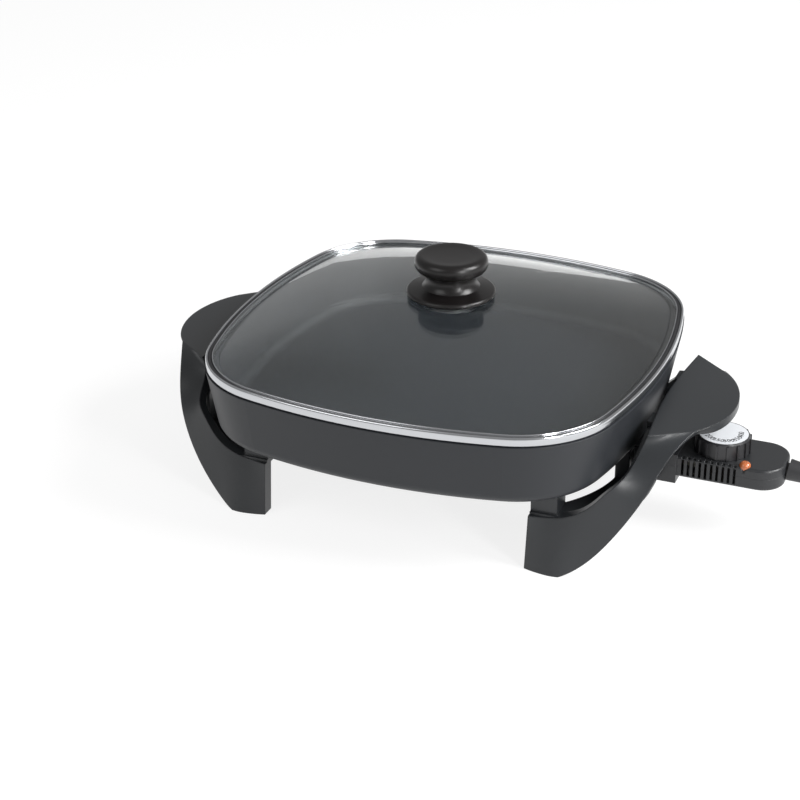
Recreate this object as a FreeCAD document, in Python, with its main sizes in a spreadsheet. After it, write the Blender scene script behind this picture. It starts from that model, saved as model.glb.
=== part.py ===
import FreeCAD, Part
import Sketcher
import math
import os
import re
from FreeCAD import Placement, Rotation, Vector

# An electric skillet: a cast pan on two moulded handles that are also its legs, a loose glass lid,
# and a plug-in heat control with its probe, dial and cord.
# Lengths are millimetres. Shapes are drawn about the pan's centre line, +X towards the control,
# with height zero on the surface that the feet stand on. Every sub-part's Placement then moves it
# by the same amount, so that the origin is under the middle of the whole object.

SIZES = {
    "rim_half": 157.5,
    "side_radius": 405.6,
    "corner_radius": 75.5,
    "pan_top": 107.2,
    "pan_base": 60.8,
    "wall_thick": 3.5,
    "floor_thick": 4.5,
    "wall_draft": 10.4,
    "base_fillet": 9,
    "cavity_fillet": 7,
    "ridge_half": -59.5,
    "ridge_corner": 40,
    "ridge_width": 15,
    "ridge_depth": 7,
    "element_diameter": 6.5,
    "element_gap": 0.2,
    "element_bend": 8,
    "pin_offset": 9.5,
    "pin_radius": 2.4,
    "pin_reach": -7.5,
    "bead_radius": 4.2,
    "bead_length": 3,
    "probe_height": 49.2,
    "probe_radius": 3.2,
    "probe_gap": 0.3,
    "probe_tip": -105.5,
    "boss_half": 5.6,
    "boss_mouth": -48.5,
    "guard_back": -46.5,
    "guard_mouth": -6.5,
    "guard_half": 19.5,
    "guard_bottom": 39.6,
    "guard_wall": 1.5,
    "seat_gap": 0.25,
    "screw_radius": 2,
    "screw_head_radius": 3.8,
    "screw_head_height": 2.4,
    "guard_screw_x": -36.5,
    "guard_screw_y": 13,
    "front_screw_x": -51.5,
    "front_screw_y": -67.5,
    "side_screw_x": -16.5,
    "side_screw_y": 33.5,
    "handle_reach": 51,
    "grip_inner": 2.5,
    "grip_top": 91.6,
    "grip_drop": 1.4,
    "grip_thick": 6,
    "crease_inner_x": 7.1,
    "crease_inner_y": 68,
    "crease_outer_x": 35.1,
    "crease_outer_y": 46.2,
    "foot_left": -61,
    "foot_right": -40,
    "foot_front": -41,
    "foot_depth": 10,
    "foot_top": 38.5,
    "flange_top": 40,
    "flange_thick": 4,
    "tunnel_half": 28,
    "lid_inset": 0.5,
    "band_sheet": 1,
    "band_height": 6.9,
    "band_lip": 5.5,
    "skirt_drop": 3.6,
    "glass_thick": 4,
    "glass_rise": 28,
    "glass_border": 8,
    "glass_hole": 4.2,
    "knob_base_radius": 31.5,
    "knob_base_height": 4,
    "knob_neck_radius": 18.5,
    "knob_cap_radius": 26,
    "knob_cap_bottom": -8.5,
    "knob_top": 30.47,
    "knob_screw_radius": 2.5,
    "gasket_radius": 11,
    "gasket_thick": 1.2,
    "washer_radius": 22,
    "washer_thick": 1.5,
    "control_reach": 89,
    "control_half": 22.7,
    "control_corner": 17,
    "control_bottom": 40.4,
    "control_top": 56,
    "shell_wall": 2,
    "collar_back": 0.5,
    "collar_front": 17.5,
    "collar_extra": 1.3,
    "collar_bottom": 35.7,
    "collar_top": 57.5,
    "nose_tip": -24.5,
    "nose_half": 16.5,
    "nose_bottom": 42.6,
    "nose_top": 55.4,
    "sleeve_wall": 0.8,
    "vent_start": 21.5,
    "vent_pitch": 4,
    "vent_count": 10,
    "vent_width": 1.8,
    "dial_centre": 43.5,
    "dial_radius": 19.5,
    "dial_height": 12,
    "dial_face_radius": 17,
    "dial_face_thick": 1,
    "dial_ribs": 16,
    "shaft_radius": 3,
    "lens_x": 63.5,
    "lens_y": 18.5,
    "lens_radius": 4,
    "control_screw_y": 13,
    "control_screw_in": 10.5,
    "control_screw_out": 75.5,
    "relief_root_radius": 7.6,
    "relief_tip_radius": 4.4,
    "relief_length": 40,
    "relief_dip": 6.5,
    "cord_diameter": 7,
    "coil_radius": 37.5,
    "coil_turns": 2,
    "coil_x": 172.5,
    "coil_y": 95,
    "plug_length": 32,
    "plug_width": 26,
    "plug_height": 18,
    "blade_spacing": 12.7,
    "blade_width": 6.4,
    "blade_thick": 1.5,
    "blade_length": 17,
}

GLASS_TOP = "(pan_top + seat_gap + band_sheet + 0.2 + glass_thick + glass_rise * 0.96)"
# These sizes are distances from another place: most are measured outwards from the pan's rim.
MEASURED_FROM = {"knob_top": GLASS_TOP, "knob_cap_bottom": "knob_top"}
for name in ("ridge_half", "boss_mouth", "probe_tip", "pin_reach", "guard_back", "guard_mouth", "guard_screw_x",
             "foot_left", "foot_right", "foot_front", "front_screw_x", "front_screw_y", "side_screw_x",
             "grip_inner", "crease_inner_x", "crease_outer_x", "handle_reach", "nose_tip", "collar_back",
             "collar_front", "control_screw_in", "control_screw_out", "vent_start", "dial_centre", "lens_x",
             "control_reach", "coil_x"):
    MEASURED_FROM[name] = "rim_half"
SHIFT = "(handle_reach - control_reach) / 2"
UP = Vector(0, 0, 1)
WORD = re.compile(r"[a-z]+(?:_[a-z]+)*")

doc = FreeCAD.newDocument("electric_skillet")
sheet = doc.addObject("Spreadsheet::Sheet", "sizes")
for row, (alias, number) in enumerate(SIZES.items(), start=1):
    sheet.set("A%d" % row, alias)
    sheet.set("B%d" % row, str(number))
    sheet.setAlias("B%d" % row, alias)
doc.recompute()
subparts = []


def tied(text):
    """Point each size's name in an expression at its cell, with the place that it is measured from."""
    return WORD.sub(lambda word: cell(word.group()), text)


def cell(name):
    if name in MEASURED_FROM:
        return "(%s + sizes.%s)" % (tied(MEASURED_FROM[name]), name)
    return "sizes." + name if name in SIZES else name


def value(text):
    """Work out an expression of sizes as a number."""
    return float(sheet.evalExpression(tied(text)))


def bind(thing, **properties):
    """Bind properties to expressions; a double underscore in a name stands for a dot."""
    for name, text in properties.items():
        thing.setExpression(name.replace("__", "."), tied(text))


def keep(thing, label):
    """Take an object as the sub-part of this label and move it with the whole."""
    thing.Label = label
    bind(thing, Placement__Base__x=SHIFT)
    subparts.append(thing)
    return thing


# Sketches

def new_body(name):
    return doc.addObject("PartDesign::Body", name + "_body")


def new_sketch(body, name, role, height="0"):
    """Put a sketch on one of the body's origin planes, moved along its normal."""
    sketch = body.newObject("Sketcher::SketchObject", name)
    base = [plane for plane in body.Origin.OriginFeatures if plane.Role == role]
    sketch.AttachmentSupport = (base[0], "")
    sketch.MapMode = "FlatFace"
    bind(sketch, AttachmentOffset__Base__z=height)
    return sketch


def hold(sketch, geometry, point, x, y, tag):
    """Fix a point of a sketch at two expressions, measured from the sketch's origin."""
    for kind, text, axis in (("DistanceX", x, -2), ("DistanceY", y, -1)):
        if text == "0":
            sketch.addConstraint(Sketcher.Constraint("PointOnObject", geometry, point, axis))
            continue
        name = "%s_%s" % (kind[-1].lower(), tag)
        index = sketch.addConstraint(Sketcher.Constraint(kind, -1, 1, geometry, point, value(text)))
        sketch.renameConstraint(index, name)
        sketch.setExpression("Constraints." + name, tied(text))


def arc_through(start, middle, end):
    """Draw an anticlockwise arc, and say whether it runs from start to end."""
    circle = Part.Arc(start, middle, end).toShape().Curve
    forward = (middle - start).cross(end - middle).z > 0
    first, last = (start, end) if forward else (end, start)
    angles = [math.atan2(p.y - circle.Center.y, p.x - circle.Center.x) for p in (first, last)]
    if angles[1] < angles[0]:
        angles[1] += 2 * math.pi
    arc = Part.ArcOfCircle(Part.Circle(circle.Center, UP, circle.Radius), angles[0], angles[1])
    return arc, forward


def draw(sketch, points):
    """Draw a closed outline. A point is (x, y), or (x, y, via x, via y) where an arc arrives at it."""
    tag = sketch.GeometryCount
    places = [Vector(value(point[0]), value(point[1]), 0) for point in points]
    ends = []
    for index, start in enumerate(places):
        target = (index + 1) % len(points)
        if len(points[target]) == 2:
            ends.append((sketch.addGeometry(Part.LineSegment(start, places[target]), False), 1, 2))
            continue
        via = points[target][2:]
        arc, forward = arc_through(start, Vector(value(via[0]), value(via[1]), 0), places[target])
        curve = sketch.addGeometry(arc, False)
        ends.append((curve, 1, 2) if forward else (curve, 2, 1))
        mark = sketch.addGeometry(Part.Point(Vector(value(via[0]), value(via[1]), 0)), True)
        sketch.addConstraint(Sketcher.Constraint("PointOnObject", mark, 1, curve))
        hold(sketch, mark, 1, via[0], via[1], "via_%d_%d" % (tag, index))
    for index, (curve, start, end) in enumerate(ends):
        follower = ends[(index + 1) % len(ends)]
        sketch.addConstraint(Sketcher.Constraint("Coincident", curve, end, follower[0], follower[1]))
        hold(sketch, curve, start, points[index][0], points[index][1], "at_%d_%d" % (tag, index))


def draw_box(sketch, left, right, bottom, top, radius=None):
    """Draw a rectangle, with rounded corners where a radius is given."""
    if radius is None:
        draw(sketch, [(left, bottom), (right, bottom), (right, top), (left, top)])
        return
    arc = "(%s) * (1 - cos(45))" % radius
    near_left, near_right = "%s + %s" % (left, radius), "%s - (%s)" % (right, radius)
    near_bottom, near_top = "%s + %s" % (bottom, radius), "%s - (%s)" % (top, radius)
    draw(sketch, [
        (near_left, bottom, "%s + %s" % (left, arc), "%s + %s" % (bottom, arc)),
        (near_right, bottom),
        (right, near_bottom, "%s - %s" % (right, arc), "%s + %s" % (bottom, arc)),
        (right, near_top),
        (near_right, top, "%s - %s" % (right, arc), "%s - %s" % (top, arc)),
        (near_left, top),
        (left, near_top, "%s + %s" % (left, arc), "%s - %s" % (top, arc)),
        (left, near_bottom),
    ])


def draw_circle(sketch, x, y, radius):
    tag = sketch.GeometryCount
    circle = sketch.addGeometry(Part.Circle(Vector(value(x), value(y), 0), UP, value(radius)), False)
    index = sketch.addConstraint(Sketcher.Constraint("Radius", circle, value(radius)))
    sketch.renameConstraint(index, "radius_%d" % tag)
    sketch.setExpression("Constraints.radius_%d" % tag, tied(radius))
    hold(sketch, circle, 3, x, y, "centre_%d" % tag)


def square_arcs(half, side, corner):
    """Work out a square with bowed sides and round corners as eight tangent arcs."""
    bow = half - side
    spread = (bow + math.sqrt(2 * (side - corner) ** 2 - bow ** 2)) / 2
    turn = math.atan2(spread, spread - bow)
    arcs = []
    for quarter in range(4):
        angle = quarter * math.pi / 2
        spin = Rotation(UP, math.degrees(angle))
        arcs.append((spin.multVec(Vector(bow, 0, 0)), side, angle - turn, angle + turn))
        centre = spin.multVec(Vector(spread, spread, 0))
        arcs.append((centre, corner, angle + turn, angle + math.pi / 2 - turn))
    return arcs


def draw_square(sketch, half, side, corner):
    """Draw the bowed square with its arcs tangent and its sizes bound."""
    tag = sketch.GeometryCount
    arcs = []
    for centre, radius, start, end in square_arcs(value(half), value(side), value(corner)):
        arcs.append(sketch.addGeometry(Part.ArcOfCircle(Part.Circle(centre, UP, radius), start, end), False))
    for index, arc in enumerate(arcs):
        sketch.addConstraint(Sketcher.Constraint("Tangent", arc, 2, arcs[(index + 1) % 8], 1))
    for index, text in ((0, side), (1, corner)):
        name = "radius_%d_%d" % (tag, index)
        number = sketch.addConstraint(Sketcher.Constraint("Radius", arcs[index], value(text)))
        sketch.renameConstraint(number, name)
        sketch.setExpression("Constraints." + name, tied(text))
        for other in arcs[index + 2::2]:
            sketch.addConstraint(Sketcher.Constraint("Equal", arcs[index], other))
    for index, kind, axis in ((0, "DistanceX", -1), (2, "DistanceY", -2), (4, "DistanceX", -1),
                              (6, "DistanceY", -2)):
        sketch.addConstraint(Sketcher.Constraint("PointOnObject", arcs[index], 3, axis))
        bow = "(%s) - (%s)" % (side, half)
        pair = (arcs[index], 3, -1, 1) if index < 4 else (-1, 1, arcs[index], 3)
        name = "bow_%d_%d" % (tag, index)
        number = sketch.addConstraint(Sketcher.Constraint(kind, *pair, value(bow)))
        sketch.renameConstraint(number, name)
        sketch.setExpression("Constraints." + name, tied(bow))


def draw_offset_square(sketch, inset):
    """Draw the pan's rim outline moved inwards by an inset."""
    draw_square(sketch, "rim_half - (%s)" % inset, "side_radius - (%s)" % inset,
                "corner_radius - (%s)" % inset)


# Features

def check_change(feature, base, grows):
    """Refuse a feature that adds or cuts nothing."""
    doc.recompute()
    before = base.Shape.Volume if base is not None else 0
    change = feature.Shape.Volume - before
    if (change > 0) != grows or abs(change) < 1e-6:
        raise RuntimeError("%s changes nothing" % feature.Name)
    return feature


def pad(body, sketch, length, taper=None, down=False, middle=False):
    base = body.Tip
    feature = body.newObject("PartDesign::Pad", sketch.Name + "_pad")
    feature.Profile = sketch
    feature.Reversed = down
    feature.Midplane = middle
    bind(feature, Length=length)
    if taper is not None:
        bind(feature, TaperAngle=taper)
    return check_change(feature, base, True)


def pocket(body, sketch, length, taper=None, flip=False, middle=False):
    base = body.Tip
    feature = body.newObject("PartDesign::Pocket", sketch.Name + "_cut")
    feature.Profile = sketch
    feature.Reversed = flip
    feature.Midplane = middle
    bind(feature, Length=length)
    if taper is not None:
        bind(feature, TaperAngle=taper)
    return check_change(feature, base, False)


def revolve(body, sketch):
    base = body.Tip
    feature = body.newObject("PartDesign::Revolution", sketch.Name + "_turned")
    feature.Profile = sketch
    feature.ReferenceAxis = (sketch, ["V_Axis"])
    feature.Angle = 360
    return check_change(feature, base, True)


def round_edges(body, name, radius, chosen):
    """Fillet the edges of the body's last feature that a test picks."""
    base = body.Tip
    edges = ["Edge%d" % number for number, edge in enumerate(base.Shape.Edges, start=1) if chosen(edge)]
    feature = body.newObject("PartDesign::Fillet", name)
    feature.Base = (base, edges)
    bind(feature, Radius=radius)
    doc.recompute()
    return feature


def level(edge, height):
    """Tell whether an edge lies flat at a height."""
    box = edge.BoundBox
    return abs(box.ZMin - height) < 0.01 and abs(box.ZMax - height) < 0.01


def cylinder(name, radius, height, x, y, z, along_x=False):
    """Make a cylinder that starts at a point and runs up, or towards +X."""
    thing = doc.addObject("Part::Cylinder", name)
    if along_x:
        thing.Placement = Placement(Vector(), Rotation(Vector(0, 1, 0), 90))
    bind(thing, Radius=radius, Height=height)
    bind(thing, Placement__Base__x=x, Placement__Base__y=y, Placement__Base__z=z)
    return thing


def boxed(name, x, y, z, length, width, height):
    thing = doc.addObject("Part::Box", name)
    bind(thing, Length=length, Width=width, Height=height)
    bind(thing, Placement__Base__x=x, Placement__Base__y=y, Placement__Base__z=z)
    return thing


def combine(kind, name, things):
    """Fuse, compound or cut objects: a cut takes the later ones from the first."""
    thing = doc.addObject("Part::" + kind, name)
    if kind == "Cut":
        thing.Base, thing.Tool = things
    elif kind == "Compound":
        thing.Links = things
    else:
        thing.Shapes = things
    return thing


def upward_screw(name, x, y, head_z, length):
    """Make a pan-head screw that is driven upwards from under its head."""
    head = cylinder(name + "_head", "screw_head_radius", "screw_head_height", x, y, head_z)
    shank = cylinder(name + "_shank", "screw_radius", length, x, y, head_z + " + screw_head_height")
    return combine("MultiFuse", name, [head, shank])


# Pan: the rim outline drawn down to the base with a draft, hollowed, and rounded inside and out.
# Underneath it has a grooved ridge for the element, a bored boss for the probe and screw bosses.

DEPTH = "(pan_top - pan_base)"


def make_pan():
    body = new_body("pan")
    rim = new_sketch(body, "rim_outline", "XY_Plane", "pan_top")
    draw_offset_square(rim, "0")
    pad(body, rim, DEPTH, "-wall_draft", down=True)
    low = value("pan_base")
    round_edges(body, "base_round", "base_fillet", lambda edge: level(edge, low))
    cavity = new_sketch(body, "cavity_outline", "XY_Plane", "pan_top")
    draw_offset_square(cavity, "wall_thick")
    pocket(body, cavity, DEPTH + " - floor_thick", "-wall_draft")
    inside = value("pan_base + floor_thick")
    round_edges(body, "cavity_round", "cavity_fillet", lambda edge: level(edge, inside))
    ridge = new_sketch(body, "ridge_outline", "XY_Plane", "pan_base")
    for sign in ("+", "-"):
        half = "ridge_half %s ridge_width / 2" % sign
        draw_box(ridge, "-(%s)" % half, half, "-(%s)" % half, half, "(ridge_corner %s ridge_width / 2)" % sign)
    pad(body, ridge, "ridge_depth", down=True)
    groove = new_sketch(body, "groove_outline", "XY_Plane", "pan_base - ridge_depth")
    for sign in ("+", "-"):
        half = "ridge_half %s (element_diameter / 2 + element_gap)" % sign
        radius = "(ridge_corner %s (element_diameter / 2 + element_gap))" % sign
        draw_box(groove, "-(%s)" % half, half, "-(%s)" % half, half, radius)
    pocket(body, groove, "element_diameter + 2 * element_gap", flip=True)
    ways = new_sketch(body, "tail_ways", "XY_Plane", "pan_base - ridge_depth")
    for sign in ("", "-"):
        low_y = "%spin_offset - element_diameter / 2 - element_gap" % sign
        high_y = "%spin_offset + element_diameter / 2 + element_gap" % sign
        draw_box(ways, "ridge_half - element_diameter / 2", "ridge_half + ridge_width / 2 + 1", low_y, high_y)
    pocket(body, ways, "element_diameter + 2 * element_gap", flip=True)
    boss = new_sketch(body, "probe_boss", "XY_Plane", "probe_height - boss_half")
    draw_box(boss, "probe_tip - boss_half", "boss_mouth", "-boss_half", "boss_half")
    pad(body, boss, "pan_base - probe_height + boss_half")
    bore = new_sketch(body, "probe_bore", "YZ_Plane", "probe_tip - probe_gap")
    draw_circle(bore, "0", "probe_height", "probe_radius + probe_gap")
    pocket(body, bore, "boss_mouth - probe_tip + probe_gap", flip=True)
    holes = new_sketch(body, "screw_holes", "XY_Plane", "pan_base")
    for x, y in HANDLE_SCREWS + GUARD_SCREWS:
        draw_circle(holes, x, y, "screw_radius + 0.1")
    pocket(body, holes, "floor_thick - 1.2", flip=True)
    keep(body, "pan")


HANDLE_SCREWS = [(x_sign + x, y_sign + y)
                 for x, y in (("front_screw_x", "front_screw_y"), ("side_screw_x", "side_screw_y"))
                 for x_sign in ("", "-") for y_sign in ("", "-")]
GUARD_SCREWS = [("guard_screw_x", "guard_screw_y"), ("guard_screw_x", "-guard_screw_y")]


# Tubes: straight runs joined by tangent arcs

def corner_radii(points):
    """Give each corner of a free cord's route 0.45 of its shorter run over the tangent of half the turn."""
    radii = []
    for before, here, after in zip(points, points[1:], points[2:]):
        turn = (here - before).getAngle(after - here)
        radii.append(0.45 * min((here - before).Length, (after - here).Length) / math.tan(turn / 2))
    return radii


def route_wire(points, radii):
    """Join the points by straight lines with an arc of its own radius at each corner."""
    edges = []
    start = points[0]
    for here, after, radius in zip(points[1:], points[2:], radii):
        incoming = (here - start).normalize()
        outgoing = (after - here).normalize()
        turn = incoming.getAngle(outgoing)
        reach = radius * math.tan(turn / 2)
        first = here - incoming * reach
        last = here + outgoing * reach
        inward = (outgoing - incoming).normalize()
        middle = here + inward * (radius / math.cos(turn / 2) - radius)
        edges.append(Part.LineSegment(start, first).toShape())
        edges.append(Part.Arc(first, middle, last).toShape())
        start = last
    edges.append(Part.LineSegment(start, points[-1]).toShape())
    return Part.Wire(edges)


def tube(wire, radius):
    """Sweep a disc along a wire and compare its volume with section times length."""
    start = wire.Edges[0]
    direction = start.tangentAt(start.FirstParameter)
    section = Part.Wire(Part.Circle(start.Vertexes[0].Point, direction, radius).toShape())
    solid = wire.makePipeShell([section], True, False)
    expected = math.pi * radius ** 2 * wire.Length
    if abs(solid.Volume / expected - 1) > 0.01:
        raise RuntimeError("a tube's volume is wrong")
    return solid


def keep_shape(shape, label):
    """Take a finished shape as a sub-part."""
    thing = doc.addObject("Part::Feature", label + "_shape")
    thing.Shape = shape
    return keep(thing, label)


# Heating element: a sheathed rod bent round in the ridge's groove, with two tails that step down
# to the height of the probe and run out to the terminals.

ELEMENT_LEVEL = "pan_base - ridge_depth + element_gap + element_diameter / 2"
ELEMENT_END = "guard_back + guard_wall + 4"


def make_heating_element():
    side = value("ridge_half")
    upper = value(ELEMENT_LEVEL)
    lower = value("probe_height")
    offset = value("pin_offset")
    end = value(ELEMENT_END)
    drop = upper - lower
    knee = value("guard_back") - 2.2
    tail = [Vector(end, offset, lower), Vector(knee, offset, lower), Vector(knee - drop, offset, upper),
            Vector(side, offset, upper)]
    points = tail + [Vector(side, side, upper), Vector(-side, side, upper), Vector(-side, -side, upper),
                     Vector(side, -side, upper)]
    points += [Vector(point.x, -point.y, point.z) for point in reversed(tail)]
    small = drop * 0.7
    bend = value("element_bend")
    turn = value("ridge_corner")
    radii = [small, small * 0.9, bend, turn, turn, turn, turn, bend, small * 0.9, small]
    if knee - drop - side < bend:
        radii[1] = radii[-2] = small * 0.3
        radii[2] = radii[-3] = (knee - drop - side) * 0.8
    keep_shape(tube(route_wire(points, radii), value("element_diameter") / 2), "heating_element")


# Terminals: a ceramic bead closes each end of the element, and a pin stands out of each bead.

def make_terminals():
    beads = []
    pins = []
    for name, y in (("rear", "pin_offset"), ("front", "-pin_offset")):
        ring = cylinder(name + "_bead_outer", "bead_radius", "bead_length", ELEMENT_END + " + 0.1", y,
                        "probe_height", along_x=True)
        hole = cylinder(name + "_bead_hole", "pin_radius + 0.05", "bead_length", ELEMENT_END + " + 0.1", y,
                        "probe_height", along_x=True)
        beads.append(combine("Cut", name + "_bead", [ring, hole]))
        stem = cylinder(name + "_pin_stem", "pin_radius", "pin_reach - pin_radius - (%s + 0.1)" % ELEMENT_END,
                        ELEMENT_END + " + 0.1", y, "probe_height", along_x=True)
        nose = doc.addObject("Part::Sphere", name + "_pin_nose")
        bind(nose, Radius="pin_radius", Placement__Base__x="pin_reach - pin_radius", Placement__Base__y=y,
             Placement__Base__z="probe_height")
        pins.append(combine("MultiFuse", name + "_pin", [stem, nose]))
    keep(combine("Compound", "beads", beads), "element_seals")
    keep(combine("Compound", "pins", pins), "terminal_pins")


# Terminal guard: a thin-walled box round the pins, open towards the control and screwed to the pan.

GUARD_TOP = "pan_base - seat_gap"


def make_terminal_guard():
    body = new_body("terminal_guard")
    block = new_sketch(body, "guard_outline", "XY_Plane", "guard_bottom")
    draw_box(block, "guard_back", "guard_mouth", "-guard_half", "guard_half")
    pad(body, block, GUARD_TOP + " - guard_bottom")
    hollow = new_sketch(body, "guard_hollow", "YZ_Plane", "guard_back + guard_wall")
    draw_box(hollow, "-guard_half + guard_wall", "guard_half - guard_wall", "guard_bottom + guard_wall",
             GUARD_TOP + " - guard_wall")
    pocket(body, hollow, "guard_mouth - guard_back", flip=True)
    relief = new_sketch(body, "guard_mouth_cut", "XZ_Plane")
    draw(relief, [("guard_mouth + 1", "nose_top + 1"), ("guard_mouth + 1", "pan_base + 1"),
                  ("guard_screw_x + 12", "pan_base + 1"), ("guard_screw_x + 12", "nose_top + 1")])
    pocket(body, relief, "3 * guard_half", middle=True)
    ways = new_sketch(body, "guard_ways", "YZ_Plane", "guard_back")
    draw_circle(ways, "0", "probe_height", "probe_radius + 2 * probe_gap")
    for y in ("pin_offset", "-pin_offset"):
        draw_circle(ways, y, "probe_height", "element_diameter / 2 + element_gap")
    pocket(body, ways, "guard_wall", flip=True)
    holes = new_sketch(body, "guard_screw_holes", "XY_Plane", GUARD_TOP + " - guard_wall")
    for x, y in GUARD_SCREWS:
        draw_circle(holes, x, y, "screw_radius + 0.1")
    pocket(body, holes, "guard_wall", flip=True)
    keep(body, "terminal_guard")
    screws = []
    for index, (x, y) in enumerate(GUARD_SCREWS):
        seat = GUARD_TOP + " - guard_wall - screw_head_height - 0.05"
        screws.append(upward_screw("guard_screw_%d" % index, x, y, seat, "guard_wall + floor_thick - 2"))
    keep(combine("Compound", "guard_screw_set", screws), "guard_screws")


# Handles: each is one moulding, two legs that sweep up into a flat grip, with a flange under the pan.
# A leg is a skin between a lower and an upper rail. Each station of the rails gives a share of the
# way from the foot to the crease where the grip starts, along X, Y and Z, and the skin's thickness.

LEG_LOWER = [(0.20, 0.085, 0.083), (0.49, 0.20, 0.35), (0.72, 0.383, 0.664), (0.83, 0.593, 0.857)]
LEG_UPPER = [(0.30, 0.03, 0.12), (0.60, 0.15, 0.38), (0.825, 0.42, 0.58), (0.90, 0.80, 0.73)]
LEG_INWARD = [(-0.1, 1.3, -0.05), (-0.25, 1.15, -0.2), (-0.4, 0.9, -0.4), (-0.3, 0.9, -0.5)]
CREASE_INWARD = Vector(-0.15, 0.75, -0.75)
GRIP_INWARD = [CREASE_INWARD, Vector(0, 0.1, -1), Vector(0, 0, -1), Vector(0, -0.1, -1), Vector(-0.15, -0.75, -0.75)]


def between(start, end, share):
    step = end - start
    return start + Vector(step.x * share[0], step.y * share[1], step.z * share[2])


def skin(lower, upper, inward):
    """Make a solid between two rails and the same rails moved inwards."""
    middle = [(low + high) / 2 for low, high in zip(lower, upper)]
    steps = [0.0]
    for here, after in zip(middle, middle[1:]):
        steps.append(steps[-1] + (after - here).Length)
    rails = []
    for points in (lower, upper, [p + d for p, d in zip(upper, inward)], [p + d for p, d in zip(lower, inward)]):
        rail = Part.BSplineCurve()
        rail.interpolate(Points=points, Parameters=steps)
        rails.append(rail.toShape())
    faces = [Part.makeRuledSurface(rails[side], rails[(side + 1) % 4]) for side in range(4)]
    for end in (0, -1):
        corners = [lower[end], upper[end], upper[end] + inward[end], lower[end] + inward[end], lower[end]]
        faces.append(Part.Face(Part.makePolygon(corners)))
    shell = Part.makeShell(faces)
    shell.sewShape()
    solid = Part.makeSolid(Part.Shell(shell.Faces))
    if solid.Volume < 0:
        solid.reverse()
    return solid


def leg_solid():
    front = value("foot_front")
    left = value("foot_left")
    right = value("foot_right")
    deep = value("foot_depth")
    top = value("foot_top")
    width = right - left
    foot_low = Vector(right, -front, -1.5)
    foot_high = Vector(right, -front + deep, top + 1.5)
    crease_low = Vector(value("crease_outer_x"), -value("crease_outer_y"), value("grip_top - grip_drop"))
    crease_high = Vector(value("crease_inner_x"), -value("crease_inner_y"), value("grip_top"))
    lower = [Vector(left, -front + 3.2, -4), Vector(left + width * 0.6, -front - 0.2, -4), foot_low]
    upper = [Vector(left + 0.5, -front + 0.75 * deep, top), Vector(left + width * 0.6, -front + deep - 0.2, top),
             foot_high]
    inward = [Vector(0, deep, 0), Vector(0, deep, 0), Vector(0, deep * 0.9, 0)]
    thick = value("grip_thick")
    for low, high, aim in zip(LEG_LOWER, LEG_UPPER, LEG_INWARD):
        lower.append(between(foot_low, crease_low, low))
        upper.append(between(foot_high, crease_high, high))
        inward.append(Vector(*aim) * thick)
    lower.append(crease_low)
    upper.append(crease_high)
    inward.append(CREASE_INWARD * thick)
    return skin(lower, upper, inward)


def grip_solid():
    top = value("grip_top")
    low = value("grip_top - grip_drop")
    inner = value("grip_inner")
    reach = value("handle_reach")
    out_x, out_y = value("crease_outer_x"), value("crease_outer_y")
    in_x, in_y = value("crease_inner_x"), value("crease_inner_y")
    bulge = reach - out_x
    half_inner = [Vector(in_x, -in_y, top), Vector(inner + 2, -0.6 * in_y, top)]
    half_outer = [Vector(out_x, -out_y, low), Vector(out_x + 0.6 * bulge, -0.66 * out_y, low)]
    rails = []
    for half, centre in ((half_outer, Vector(reach, 0, low)), (half_inner, Vector(inner, 0, top))):
        rails.append(half + [centre] + [Vector(p.x, -p.y, p.z) for p in reversed(half)])
    return skin(rails[0], rails[1], [aim * value("grip_thick") for aim in GRIP_INWARD])


def slab(points, arcs, low, high):
    """Extrude a closed outline; an arc is given by the index of its end point and a point on it."""
    edges = []
    for index, start in enumerate(points):
        target = (index + 1) % len(points)
        a, b = Vector(*start, low), Vector(*points[target], low)
        if target in arcs:
            edges.append(Part.Arc(a, Vector(*arcs[target], low), b).toShape())
        else:
            edges.append(Part.LineSegment(a, b).toShape())
    return Part.Face(Part.Wire(edges)).extrude(Vector(0, 0, high - low))


def front_bracing():
    """Make the front half of what ties the legs together: flange, two screw blocks and a post."""
    top = value("flange_top")
    low = value("flange_top - flange_thick")
    left = value("foot_left")
    front = value("foot_front")
    deep = value("foot_depth")
    gate = value("tunnel_half")
    screw_x, screw_y = value("front_screw_x"), value("front_screw_y")
    side_x, side_y = value("side_screw_x"), value("side_screw_y")
    post_out = value("grip_inner") + 2.5
    side_left, side_right = side_x - 5, side_x + 5
    flange = slab([(left + 0.5, -front + deep + 1), (left + 0.5, -screw_y + 6), (left + 19, -screw_y + 6),
                   (side_left, -side_y - 6.5), (side_left, -gate), (post_out, -gate), (post_out, -side_y - 10),
                   (left + 50, -front + deep + 8), (left + 34, -front + deep + 1)],
                  {3: (left + 32, -screw_y + 26), 7: (post_out - 5, -side_y - 40)}, low, top)
    ceiling = value("pan_base - seat_gap")
    front_block = slab([(left + 0.5, -front + deep + 3), (left + 19, -front + deep + 3),
                        (left + 19, -screw_y + 4.6), (left + 0.5, -screw_y + 4.6)], {}, low, ceiling)
    side_block = slab([(side_left, -side_y - 5), (side_right, -side_y - 5), (side_right, -gate),
                       (side_left, -gate)], {}, low, ceiling)
    post = slab([(post_out - 5, -side_y - 9), (post_out, -side_y - 10), (post_out, -gate), (post_out - 5, -gate)],
                {}, low, value("grip_top - grip_drop - 1"))
    return [flange, front_block, side_block, post]


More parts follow.
